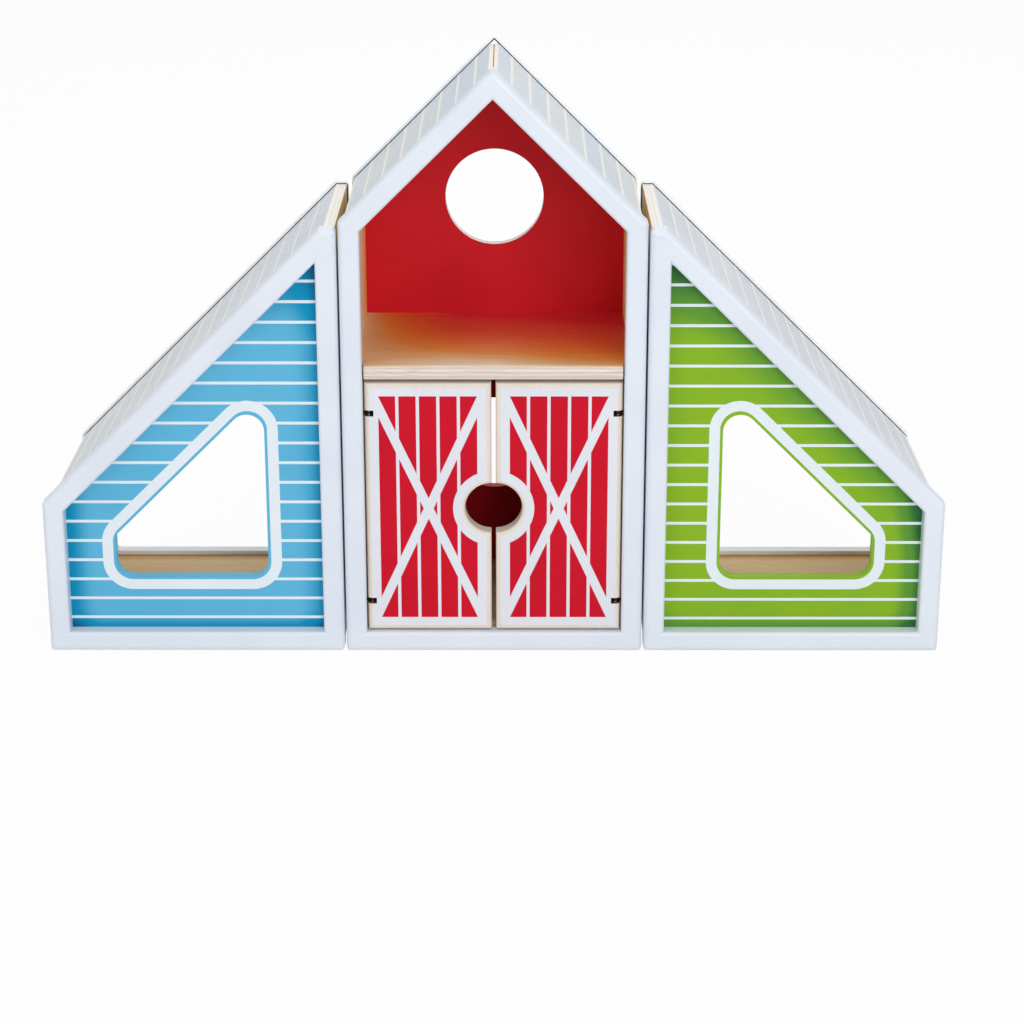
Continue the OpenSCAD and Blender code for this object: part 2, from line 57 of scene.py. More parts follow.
MM = 0.001
DIAGONAL = math.sqrt(0.5)
WING_START = 101.2
PANEL_FRONT = -60.0
REAR_FRAME_FRONT = 62.0
PRINT_BLUR = 0.12
FACE_BLUR = 0.1


class Side(Enum):
    """Which half of the barn a piece belongs to; the value is the sign of its x."""

    LEFT = -1
    RIGHT = 1

    @property
    def word(self) -> str:
        """The word that node names start with."""
        return self.name.lower()


class Grain(Enum):
    """Direction in which the wood's fibres run; the value squeezes the pattern along it."""

    ALONG_X = (0.045, 1.0, 1.0)
    ALONG_Y = (1.0, 0.045, 1.0)
    ALONG_Z = (1.0, 1.0, 0.045)


def srgb(red: float, green: float, blue: float) -> Colour:
    """Turns a colour as a paint card shows it into the linear colour that shaders use.

    Args:
        red: Red from 0 to 255.
        green: Green from 0 to 255.
        blue: Blue from 0 to 255.

    Returns:
        The linear colour with full opacity.
    """
    def one(value: float) -> float:
        """Linear value of one channel."""
        v = value / 255
        return v / 12.92 if v <= 0.04045 else ((v + 0.055) / 1.055) ** 2.4

    return (one(red), one(green), one(blue), 1.0)


WHITE = (1.0, 1.0, 1.0, 1.0)
# Painted light and shade on the loft's top: pale at the front, then red bounce light from the back panel and shade
# deepening towards the back.
LOFT_BOUNCE_AND_SHADE: Tints = (
    (-67.0, srgb(255, 255, 251)),
    (-60.0, srgb(251, 243, 230)),
    (-45.0, srgb(237, 196, 144)),
    (-33.0, srgb(240, 160, 75)),
    (-12.0, srgb(239, 124, 63)),
    (10.0, srgb(236, 99, 63)),
    (35.0, srgb(235, 81, 72)),
    (50.0, srgb(235, 50, 69)),
)
# Painted bounce light on the barn walls' inner faces: warmer towards the back.
WALL_BOUNCE_LIGHT: Tints = (
    (5.0, WHITE),
    (15.0, srgb(255, 255, 246)),
    (32.0, srgb(255, 250, 188)),
    (52.0, srgb(255, 218, 124)),
)
# Painted warm bounce light on the wing wall's face towards the barn, which lies in the shade of the gap.
PARTY_BOUNCE_LIGHT: Tints = ((-70.0, srgb(255, 226, 178)), (70.0, srgb(255, 226, 178)))
# Painted shade on a wing floor's last millimetres before the rear frame.
FLOOR_BACK_SHADOW: Tints = ((50.0, WHITE), (58.0, srgb(232, 212, 180)), (62.0, srgb(196, 150, 96)))


def deselect() -> None:
    """Leaves nothing selected, so that the next operator acts on its own piece only."""
    bpy.ops.object.select_all(action="DESELECT")


class Sheet:
    """Adds and links the nodes of one shader tree."""

    def __init__(self, tree: NodeTree) -> None:
        """Keeps the tree that the nodes go into."""
        self.tree = tree

    def feed(self, socket: NodeSocket, value: Feed) -> None:
        """Links a socket's value, or writes it where it is a plain number or colour.

        Args:
            socket: The socket that takes the value.
            value: The value.
        """
        if isinstance(value, NodeSocket):
            self.tree.links.new(value, socket)
        else:
            socket.default_value = value

    def add(self, kind: str, inputs: Optional[dict[Union[str, int], Feed]] = None, **settings: object) -> Node:
        """Adds one node.

        Args:
            kind: The node's type name.
            inputs: What its inputs take, by name or number.
            settings: Properties to set on it first.

        Returns:
            The new node.
        """
        node = self.tree.nodes.new(kind)
        for name, value in settings.items():
            setattr(node, name, value)
        for key, value in (inputs or {}).items():
            self.feed(node.inputs[key], value)
        return node

    def math(self, kind: str, *values: Feed) -> NodeSocket:
        """The result of one Math node."""
        return self.add("ShaderNodeMath", dict(enumerate(values)), operation=kind).outputs[0]

    def least(self, first: Feed, *rest: Feed) -> NodeSocket:
        """The smallest of several values."""
        return reduce(partial(self.math, "MINIMUM"), rest, first)

    def most(self, first: Feed, *rest: Feed) -> NodeSocket:
        """The largest of several values."""
        return reduce(partial(self.math, "MAXIMUM"), rest, first)

    def times(self, first: Feed, *rest: Feed) -> NodeSocket:
        """The product of several values, which for masks is what they share."""
        return reduce(partial(self.math, "MULTIPLY"), rest, first)

    def plus(self, a: Feed, b: Feed) -> NodeSocket:
        """The sum of two values."""
        return self.math("ADD", a, b)

    def minus(self, a: Feed, b: Feed) -> NodeSocket:
        """The first value less the second."""
        return self.math("SUBTRACT", a, b)

    def scaled(self, value: Feed, factor: Feed, base: Feed) -> NodeSocket:
        """A value times a factor, plus a base."""
        return self.math("MULTIPLY_ADD", value, factor, base)

    def unsigned(self, value: Feed) -> NodeSocket:
        """A value without its sign."""
        return self.math("ABSOLUTE", value)

    def reach(self, a: Feed, b: Feed) -> NodeSocket:
        """The distance between two points that lie a apart one way and b apart at a right angle to it."""
        return self.math("SQRT", self.plus(self.times(a, a), self.times(b, b)))

    def ramp(self, value: Feed, start: float, end: float) -> NodeSocket:
        """A smooth step from 0 at start to 1 at end, which may lie below start."""
        step = {"From Min": min(start, end), "From Max": max(start, end), "To Min": start > end, "To Max": start < end}
        return self.add("ShaderNodeMapRange", {"Value": value, **step}, interpolation_type="SMOOTHSTEP").outputs[0]

    def under(self, value: Feed, limit: float, blur: float = PRINT_BLUR) -> NodeSocket:
        """Mask that is 1 under a limit and fades within the blur to both sides of it."""
        return self.ramp(value, limit + blur, limit - blur)

    def over(self, value: Feed, limit: float, blur: float = PRINT_BLUR) -> NodeSocket:
        """Mask that is 1 over a limit and fades within the blur to both sides of it."""
        return self.ramp(value, limit - blur, limit + blur)

    def mix(self, share: Feed, first: Feed, second: Feed, kind: str = "MIX") -> NodeSocket:
        """Mixes two colours, with the share as the part of the second."""
        return self.add("ShaderNodeMix", {0: share, 6: first, 7: second}, data_type="RGBA", blend_type=kind).outputs[2]

    def noise(self, point: Feed, scale: float, detail: float, twist: float = 0.0) -> NodeSocket:
        """Cloudy noise from 0 to 1 at a point, repeated scale times per unit and distorted by twist."""
        look = {"Vector": point, "Scale": scale, "Detail": detail, "Distortion": twist}
        return self.add("ShaderNodeTexNoise", look).outputs[0]

    def group(self, tree: NodeTree, **inputs: Feed) -> Node:
        """Places a node group with its input values."""
        return self.add("ShaderNodeGroup", inputs, node_tree=tree)

    def seen_ray(self) -> NodeSocket:
        """1 for what the camera sees, itself or through metal and glass."""
        path = self.add("ShaderNodeLightPath").outputs
        return self.most(*[path[f"Is {kind} Ray"] for kind in ("Camera", "Glossy", "Transmission")])


class Paint(Sheet):
    """The shader tree of one material, with the place on the piece in millimetres."""

    def __init__(self, name: str) -> None:
        """Starts the material.

        Args:
            name: The material's name.
        """
        self.material = bpy.data.materials.new(name)
        self.material.use_nodes = True
        super().__init__(self.material.node_tree)
        self.tree.nodes.clear()
        place = {"Vector": self.add("ShaderNodeTexCoord").outputs["Object"], "Scale": (1 / MM, 1 / MM, 1 / MM)}
        self.point = self.add("ShaderNodeMapping", place, vector_type="POINT").outputs[0]
        self.x, self.y, self.z = self.add("ShaderNodeSeparateXYZ", {0: self.point}).outputs

    def across(self, direction: Direction, start: float) -> NodeSocket:
        """Distance along a direction, counted from start."""
        dot = self.add("ShaderNodeVectorMath", {0: self.point, 1: direction}, operation="DOT_PRODUCT")
        return self.minus(dot.outputs["Value"], start)

    def along(self, value: Feed, stops: Tints) -> NodeSocket:
        """Colour that changes along a value.

        Args:
            value: The place.
            stops: Places in rising order, each with its colour.

        Returns:
            The colour at each place.
        """
        low, high = stops[0][0], stops[-1][0]
        node = self.add("ShaderNodeValToRGB", {0: self.math("DIVIDE", self.minus(value, low), high - low)})
        elements = node.color_ramp.elements
        elements[0].color, elements[-1].color = stops[0][1], stops[-1][1]
        for place, colour in stops[1:-1]:
            elements.new((place - low) / (high - low)).color = colour
        return node.outputs[0]

    def lines(self, value: Feed, first: float, pitch: float, width: float) -> NodeSocket:
        """Mask of lines that repeat along a value, with the middle of one at first."""
        turn = self.math("FLOORED_MODULO", self.plus(value, pitch / 2 - first), pitch)
        return self.under(self.unsigned(self.minus(turn, pitch / 2)), width / 2)

    def grain(self, direction: Grain) -> Node:
        """Adds the wood's grain."""
        return self.group(WOOD_GRAIN, Point=self.point, Stretch=direction.value)

    def film(self, colour: Feed, shade: Feed, fibre: Feed, telegraph: float, gloss: float) -> Node:
        """Adds a film of paint or print, through which fibres show by the share called telegraph."""
        return self.group(
            FILM, Point=self.point, Colour=colour, Shade=shade, Fibre=fibre, Telegraph=telegraph, Gloss=gloss)

    def close(
        self,
        colour: Feed,
        roughness: Feed,
        height: Optional[Feed] = None,
        bump: float = 0.1,
        metallic: float = 0.0,
        coat: float = 0.0,
        specular: float = 0.3,
        lift: float = 0.0,
    ) -> Material:
        """Ends the material with its shader.

        Args:
            colour: Base colour.
            roughness: Roughness.
            height: Relief, if the surface has any.
            bump: Strength of the relief.
            metallic: 1 for bare metal.
            coat: Weight of the clear lacquer.
            specular: Strength of the plain reflection.
            lift: How far the surface turns white where it is seen; the rest keeps its shadow.

        Returns:
            The finished material.
        """
        look = {"Base Color": colour, "Roughness": roughness, "Metallic": metallic, "Coat Weight": coat,
                "Coat Roughness": 0.22, "Specular IOR Level": specular}
        if height is not None:
            relief = {"Strength": bump, "Distance": MM, "Height": height}
            look["Normal"] = self.add("ShaderNodeBump", relief).outputs[0]
        surface = self.add("ShaderNodeBsdfPrincipled", look).outputs[0]
        if lift:
            glow = self.add("ShaderNodeEmission", {"Color": WHITE, "Strength": 1.0}).outputs[0]
            share = self.times(self.seen_ray(), lift)
            surface = self.add("ShaderNodeMixShader", {0: share, 1: surface, 2: glow}).outputs[0]
        self.add("ShaderNodeOutputMaterial", {"Surface": surface})
        return self.material


class Effect(Sheet):
    """A shader node group with named inputs and outputs."""

    def __init__(self, name: str, inputs: dict[str, str], outputs: dict[str, str]) -> None:
        """Makes the group's sockets.

        Args:
            name: The group's name.
            inputs: Kind of socket for each input name.
            outputs: Kind of socket for each output name.
        """
        super().__init__(bpy.data.node_groups.new(name, "ShaderNodeTree"))
        for way, sockets in (("INPUT", inputs), ("OUTPUT", outputs)):
            for label, kind in sockets.items():
                self.tree.interface.new_socket(label, in_out=way, socket_type=f"NodeSocket{kind}")
        self.given = self.add("NodeGroupInput").outputs
        self.result = self.add("NodeGroupOutput").inputs


def make_wood_grain() -> NodeTree:
    """Builds the grain of birch veneer: long soft figure, fine fibres and a shallow relief.

    Returns:
        The node group.
    """
    fx = Effect(
        "wood_grain",
        {"Point": "Vector", "Stretch": "Vector"},
        {"Figure": "Float", "Fibre": "Float", "Relief": "Float"},
    )
    stretched = {0: fx.given["Point"], 1: fx.given["Stretch"]}
    along = fx.add("ShaderNodeVectorMath", stretched, operation="MULTIPLY").outputs[0]
    figure = fx.noise(along, scale=0.085, detail=4.0, twist=1.6)
    fibre = fx.noise(along, scale=1.5, detail=4.0, twist=0.2)
    rings = fx.math("SINE", fx.times(figure, 62.0))
    soft = fx.scaled(rings, 0.5, 0.5)
    fx.feed(fx.result["Figure"], fx.scaled(fx.minus(soft, figure), 0.4, figure))
    fx.feed(fx.result["Fibre"], fibre)
    fx.feed(fx.result["Relief"], fx.scaled(fibre, 0.6, fx.times(soft, 0.25)))
    return fx.tree


def make_ply_layers() -> NodeTree:
    """Builds the layers of a plywood board: face veneers outside, crossed plies between.

    Returns:
        The node group.
    """
    fx = Effect(
        "ply_layers",
        {"Through": "Float", "Thickness": "Float", "Plies": "Float", "Figure": "Float", "Fibre": "Float",
         "Face": "Color", "Shade": "Color", "Contrast": "Float"},
        {"Color": "Color"},
    )
    plies, figure, fibre, shade = (fx.given[name] for name in ("Plies", "Figure", "Fibre", "Shade"))
    deep = fx.math("DIVIDE", fx.times(fx.given["Through"], plies), fx.given["Thickness"])
    wobble = fx.scaled(fx.minus(figure, 0.5), 0.25, deep)
    inside = fx.least(fx.ramp(deep, 0.75, 1.0), fx.ramp(fx.minus(plies, deep), 0.75, 1.0))
    crossed = fx.ramp(fx.math("PINGPONG", wobble, 1.0), 0.35, 0.65)
    veneer = fx.mix(fx.times(figure, 0.55), fx.given["Face"], shade)
    grained = fx.mix(fx.times(fx.ramp(fibre, 0.5, 0.75), 0.22), veneer, shade)
    end = fx.mix(fx.ramp(fibre, 0.35, 0.7), shade, srgb(168, 122, 78))
    fx.feed(fx.result["Color"], fx.mix(fx.times(inside, crossed, fx.given["Contrast"]), grained, end))
    return fx.tree


def make_film() -> NodeTree:
    """Builds a thin film of paint or print: faint clouding of its colour, fine relief and gloss.

    Returns:
        The node group.
    """
    fx = Effect(
        "colour_film",
        {"Point": "Vector", "Colour": "Color", "Shade": "Color", "Fibre": "Float", "Telegraph": "Float",
         "Gloss": "Float"},
        {"Color": "Color", "Roughness": "Float", "Relief": "Float"},
    )
    point = fx.given["Point"]
    cloud = fx.noise(point, scale=0.018, detail=2.0, twist=0.4)
    peel = fx.noise(point, scale=0.55, detail=2.0)
    smear = fx.noise(point, scale=0.05, detail=3.0, twist=1.0)
    shown = fx.times(fx.ramp(fx.given["Fibre"], 0.3, 0.75), fx.given["Telegraph"])
    clouded = fx.plus(fx.times(fx.ramp(cloud, 0.35, 0.7), 0.35), shown)
    fx.feed(fx.result["Color"], fx.mix(fx.least(clouded, 1.0), fx.given["Colour"], fx.given["Shade"]))
    fx.feed(fx.result["Roughness"], fx.scaled(fx.minus(smear, 0.5), 0.16, fx.given["Gloss"]))
    fx.feed(fx.result["Relief"], fx.scaled(shown, 1.2, fx.times(peel, 0.35)))
    return fx.tree


WOOD_GRAIN = make_wood_grain()
PLY_LAYERS = make_ply_layers()
FILM = make_film()


@dataclass(frozen=True)
class Board:
    """How a board lies: its thickness direction, where that starts, and its grain."""

    direction: Direction
    start: float
    thickness: float = 7.0
    grain: Grain = Grain.ALONG_Z


@dataclass(frozen=True)
class Warmth:
    """Painted light and shade multiplied into a board's colour: bounce light and shade that change towards the back of
    a space that is open in front.
    """

    tints: Tints
    slant: float = 0.0
    fan: float = 0.0
    skin: float = 2.0
    elsewhere: Colour = WHITE
    middle_x: float = -25.0
    middle_y: float = -49.0

    def applied(self, paint: Paint, board: Board, wood: Feed) -> NodeSocket:
        """Multiplies painted light and shade into the wood.

        Args:
            paint: The tree.
            board: The board that wears it.
            wood: The wood's colour without it.

        Returns:
            The colour with painted light and shade, whose tint changes with the depth on the board's inner face only.
        """
        # Painted shade: right of middle_x the depth grows by slant, so the right lies deeper in shade; left of it, fan
        # keeps the back paler where light falls in.
        aside = paint.minus(paint.x, self.middle_x)
        depth = paint.scaled(paint.most(aside, 0.0), self.slant, paint.y)
        spread = paint.times(paint.least(aside, 0.0), self.fan)
        depth = paint.scaled(spread, paint.minus(paint.y, self.middle_y), depth)
        inner = paint.ramp(paint.across(board.direction, board.start), self.skin, self.skin / 2)
        return paint.mix(1.0, wood, paint.mix(inner, self.elsewhere, paint.along(depth, self.tints)), "MULTIPLY")


@dataclass(frozen=True)
class Plywood:
    """Lacquered birch plywood with its layers showing on cut edges.

    Past joint from the middle, the board's ends in front of the panels carry a dark line of painted shadow, for the
    gap beside them.
    """

    name: str
    board: Board
    face: Colour = srgb(240, 221, 188)
    shade: Colour = srgb(209, 170, 120)
    plies: float = 5.0
    contrast: float = 0.7
    # Painted bounce light and shade on the board's inner face, if the board has any.
    warmth: Optional[Warmth] = None
    specular: float = 0.2
    coat: float = 0.0
    joint: Optional[float] = None
    end_shadow_half: float = 0.125
    end_shadow_blur: float = 0.2
    end_shadow_tone: Colour = srgb(58, 42, 34)

    def wood(self, paint: Paint) -> tuple[NodeSocket, NodeSocket, NodeSocket]:
        """Adds the bare wood to a tree.

        Args:
            paint: The tree.

        Returns:
            The wood's colour, its relief and the strength of its fibres.
        """
        grain = paint.grain(self.board.grain).outputs
        through = paint.across(self.board.direction, self.board.start)
        colour = paint.group(
            PLY_LAYERS, Through=through, Thickness=self.board.thickness, Plies=self.plies, Figure=grain["Figure"],
            Fibre=grain["Fibre"], Face=self.face, Shade=self.shade, Contrast=self.contrast).outputs["Color"]
        # Painted bounce light and shade, where the board has any.
        if self.warmth is not None:
            colour = self.warmth.applied(paint, self.board, colour)
        # Painted shadow at the ends of the board's front, in the gaps beside it.
        if self.joint is not None:
            end = paint.over(paint.unsigned(paint.x), self.joint - self.end_shadow_half, self.end_shadow_half)
            end = paint.times(end, paint.under(paint.y, PANEL_FRONT, self.end_shadow_blur))
            colour = paint.mix(end, colour, self.end_shadow_tone)
        return colour, grain["Relief"], grain["Fibre"]

    def material(self) -> Material:
        """Makes the material of a board that is only lacquered.

        Returns:
            The material.
        """
        paint = Paint(self.name)
        colour, relief, fibre = self.wood(paint)
        rough = paint.scaled(fibre, 0.14, 0.4)
        return paint.close(colour, rough, relief, bump=0.12, coat=self.coat, specular=self.specular)


@dataclass(frozen=True)
class WhitePaint:
    """Satin white paint on the end frames, smooth over rounded edges."""

    name: str
    colour: Colour = srgb(222, 228, 236)
    shade: Colour = srgb(211, 218, 229)

    def film(self, paint: Paint) -> Node:
        """Adds the paint film to a tree and returns its node."""
        fibre = paint.grain(Grain.ALONG_Z).outputs["Fibre"]
        return paint.film(self.colour, self.shade, fibre, telegraph=0.1, gloss=0.36)

    def material(self) -> Material:
        """Makes the material of a frame that is white all over.

        Returns:
            The material.
        """
        paint = Paint(self.name)
        film = self.film(paint).outputs
        return paint.close(film["Color"], film["Roughness"], film["Relief"], bump=0.05, coat=0.1)


@dataclass(frozen=True)
class RearFramePaint(WhitePaint):
    """White paint with a dark line painted where the frame stands proud of its boards: painted shadow in the joint,
    matte there.

    The limits are the planes of the boards' outer faces. Low down the line is golden.
    """

    # Painted light: whiter than the front frames' same paint, to lift the shade that falls on the rear frames inside
    # the modules.
    colour: Colour = srgb(244, 248, 252)
    shade: Colour = srgb(233, 239, 246)
    limits: tuple[tuple[Direction, float], ...] = ()
    line: Colour = srgb(70, 62, 66)
    line_start: float = -0.25
    line_end: float = 0.7
    line_deep: float = 0.3
    line_blur: float = 0.15
    golden: Colour = srgb(176, 128, 74)
    golden_below: float = 0.0
    golden_fade: float = 6.0

    def material(self) -> Material:
        """Makes the material of a rear frame.

        Returns:
            The material.
        """
        paint = Paint(self.name)
        film = self.film(paint).outputs
        outside = paint.most(*[paint.across(direction, start) for direction, start in self.limits])
        # Painted shadow: a dark, matte line in the joint just outside the boards' faces, golden low down.
        mask = paint.times(
            paint.over(outside, self.line_start, self.line_blur),
            paint.under(outside, self.line_end, FACE_BLUR),
            paint.under(paint.y, REAR_FRAME_FRONT + self.line_deep, self.line_blur),
        )
        low = paint.ramp(paint.z, self.golden_below, self.golden_below - self.golden_fade)
        colour = paint.mix(mask, film["Color"], paint.mix(low, self.line, self.golden))
        rough = paint.most(film["Roughness"], paint.times(mask, 0.8))
        return paint.close(colour, rough, film["Relief"], bump=0.05, coat=0.1)


@dataclass(frozen=True)
class RedPaint:
    """Deep red satin paint on the back panel, with a white cut edge in the upper window."""

    name: str = "back_panel_red"
    colour: Colour = srgb(208, 26, 38)
    shade: Colour = srgb(184, 19, 30)
    rim: Colour = srgb(248, 248, 250)
    rim_height: float = 287.0
    rim_radius: float = 34.0
    rim_reach: float = 0.5
    front: float = 55.0
    skin: float = 0.2

    def on_rim(self, paint: Paint) -> NodeSocket:
        """Mask of the upper window's cut edge, between the panel's faces.

        Args:
            paint: The tree.

        Returns:
            A mask that is 1 on the edge.
        """
        away = paint.reach(paint.x, paint.minus(paint.z, self.rim_height))
        return paint.times(
            paint.under(away, self.rim_radius + self.rim_reach, FACE_BLUR),
            paint.over(paint.y, self.front + self.skin, FACE_BLUR),
            paint.under(paint.y, REAR_FRAME_FRONT - self.skin, FACE_BLUR),
        )

    def material(self) -> Material:
        """Makes the material.

        Returns:
            The material.
        """
        paint = Paint(self.name)
        fibre = paint.grain(Grain.ALONG_X).outputs["Fibre"]
        film = paint.film(self.colour, self.shade, fibre, telegraph=0.3, gloss=0.45).outputs
        colour = paint.mix(self.on_rim(paint), film["Color"], self.rim)
        return paint.close(colour, film["Roughness"], film["Relief"], bump=0.08, specular=0.12)


@dataclass(frozen=True)
class RoofPrint:
    """Grey printed planks over plywood, with bare wood lines from front to back."""

    name: str
    wood: Plywood
    first: float
    pitch: float
    line: float
    low_end: float
    film: Colour = srgb(216, 224, 234)
    other: Colour = srgb(226, 231, 228)
    shade: Colour = srgb(202, 211, 220)
    bare: Colour = srgb(250, 247, 240)
    telegraph: float = 0.35
    margin: float = 1.45
    margin_blur: float = 0.15
    skin: float = 0.25

    def material(self) -> Material:
        """Makes the material.

        Returns:
            The material.
        """
        paint = Paint(self.name)
        colour, relief, fibre = self.wood.wood(paint)
        out = paint.unsigned(paint.x)
        bare = paint.mix(paint.times(fibre, 0.2), self.bare, self.wood.shade)
        plank = paint.math("FLOOR", paint.math("DIVIDE", paint.minus(paint.x, self.first), self.pitch))
        tint = paint.add("ShaderNodeTexWhiteNoise", noise_dimensions="1D")
        paint.feed(tint.inputs["W"], plank)
        tinted = paint.mix(tint.outputs["Value"], self.film, self.other)
        film = paint.film(tinted, self.shade, fibre, self.telegraph, gloss=0.5)
        lines = paint.lines(out, self.first, self.pitch, self.line)
        gaps = paint.most(lines, paint.over(out, self.low_end - self.margin, self.margin_blur))
        board = self.wood.board
        through = paint.across(board.direction, board.start)
        printed = paint.over(through, board.thickness - self.skin, FACE_BLUR)
        all_over = paint.mix(printed, colour, paint.mix(gaps, film.outputs["Color"], bare))
        rise = paint.scaled(paint.times(printed, paint.minus(1.0, gaps)), 0.5, relief)
        rough = paint.scaled(fibre, 0.12, 0.44)
        return paint.close(all_over, rough, rise, bump=0.12, specular=0.2)


@dataclass(frozen=True)
class DoorPrint:
    """The doors' print: red planks with white gaps, cross braces, border and finger ring; painted shade in the hinge
    notches.
    """

    name: str = "door_print"
    wood: Plywood = Plywood(
        "door_wood", Board((0.0, 1.0, 0.0), -66.0, 10.0), face=srgb(230, 220, 208), shade=srgb(210, 196, 178),
        plies=7.0, contrast=0.4)
    red: Colour = srgb(203, 10, 39)
    red_shade: Colour = srgb(186, 8, 33)
    white: Colour = srgb(224, 226, 232)
    white_shade: Colour = srgb(214, 217, 224)
    inner_edge: float = 1.5
    hinge_edge: float = 85.2
    bottom: float = 15.0
    top: float = 191.0
    margin: float = 3.2
    margin_blur: float = 0.15
    border: float = 9.3
    border_end: float = 9.0
    plank_pitch: float = 13.5
    gap: float = 2.1
    brace_half: float = 7.3
    brace_blur: float = 0.25
    ring: float = 26.7
    ring_out: float = 0.4
    hole: float = 17.5
    hole_margin: float = 2.15
    skin: float = 0.4
    notches: tuple[float, float] = (36.0, 170.0)
    notch_side: float = 79.2
    notch_half: float = 2.0
    notch_slack: float = 0.08
    notch_blur: float = 0.04
    # Brown painted shade on the walls inside the hinge notches.
    notch_painted_shade: Colour = srgb(104, 62, 36)

    def in_notch(self, paint: Paint, out: NodeSocket) -> NodeSocket:
        """Mask of the walls inside the hinge notches, which painted shade darkens.

        Args:
            paint: The tree.
            out: Distance from the middle of the front.

        Returns:
            A mask that is 1 inside the notches.
        """
        slack, blur = self.notch_slack, self.notch_blur
        away = paint.least(*[paint.unsigned(paint.minus(paint.z, height)) for height in self.notches])
        return paint.times(
            paint.under(away, self.notch_half + slack, blur),
            paint.over(out, self.notch_side - slack, blur),
            paint.under(paint.y, PANEL_FRONT + slack, blur),
        )

    def material(self) -> Material:
        """Makes the material, which both doors share.

        Returns:
            The material.
        """
        paint = Paint(self.name)
        colour, relief, fibre = self.wood.wood(paint)
        out = paint.unsigned(paint.x)
        aside = paint.minus(out, (self.inner_edge + self.hinge_edge) / 2)
        above = paint.minus(paint.z, (self.bottom + self.top) / 2)
        from_middle, from_half = paint.unsigned(aside), paint.unsigned(above)
        half_w, half_h = (self.hinge_edge - self.inner_edge) / 2, (self.top - self.bottom) / 2
        edge = paint.least(paint.minus(half_w, from_middle), paint.minus(half_h, from_half))
        from_hole = paint.minus(paint.reach(paint.minus(out, self.inner_edge), above), self.hole)
        printed = paint.times(
            paint.under(paint.y, self.wood.board.start + self.skin, FACE_BLUR),
            paint.over(edge, self.margin, self.margin_blur),
            paint.over(from_hole, self.hole_margin, self.margin_blur),
        )
        half_w, half_h = half_w - self.border, half_h - self.border_end
        gaps = paint.lines(aside, -1.5 * self.plank_pitch, self.plank_pitch, self.gap)
        rise = paint.times(aside, (half_h - self.brace_half) / half_w)
        off = paint.least(paint.unsigned(paint.minus(above, rise)), paint.unsigned(paint.plus(above, rise)))
        brace = paint.under(off, self.brace_half, self.brace_blur)
        ring = paint.under(paint.reach(paint.minus(out, self.ring_out), above), self.ring)
        is_red = paint.times(
            paint.under(from_middle, half_w),
            paint.under(from_half, half_h),
            paint.minus(1.0, paint.most(gaps, brace, ring)),
        )
        red = paint.film(self.red, self.red_shade, fibre, telegraph=0.18, gloss=0.4).outputs["Color"]
        white = paint.film(self.white, self.white_shade, fibre, telegraph=0.25, gloss=0.42).outputs["Color"]
        film = paint.mix(is_red, white, red)
        height = paint.scaled(printed, 0.4, paint.times(relief, 0.7))
        rough = paint.scaled(fibre, 0.1, 0.38)
        # Painted shade inside the hinge notches.
        all_over = paint.mix(self.in_notch(paint, out), paint.mix(printed, colour, film), self.notch_painted_shade)
        return paint.close(all_over, rough, height, bump=0.1, specular=0.12)


@dataclass(frozen=True)
class Dusk:
    """How strongly painted shade of the frame's bars, with a printed darkening, darkens a print towards the sides of
    its panel and its tip, and from how far away.
    """

    near: float
    far: float
    slope: float
    low: float
    tip: float
    reach: float = 22.0
    slope_reach: float = 33.0
    low_reach: float = 13.2
    behind: float = -4.0
    tip_from: float = 212.0
    tip_to: float = 272.0


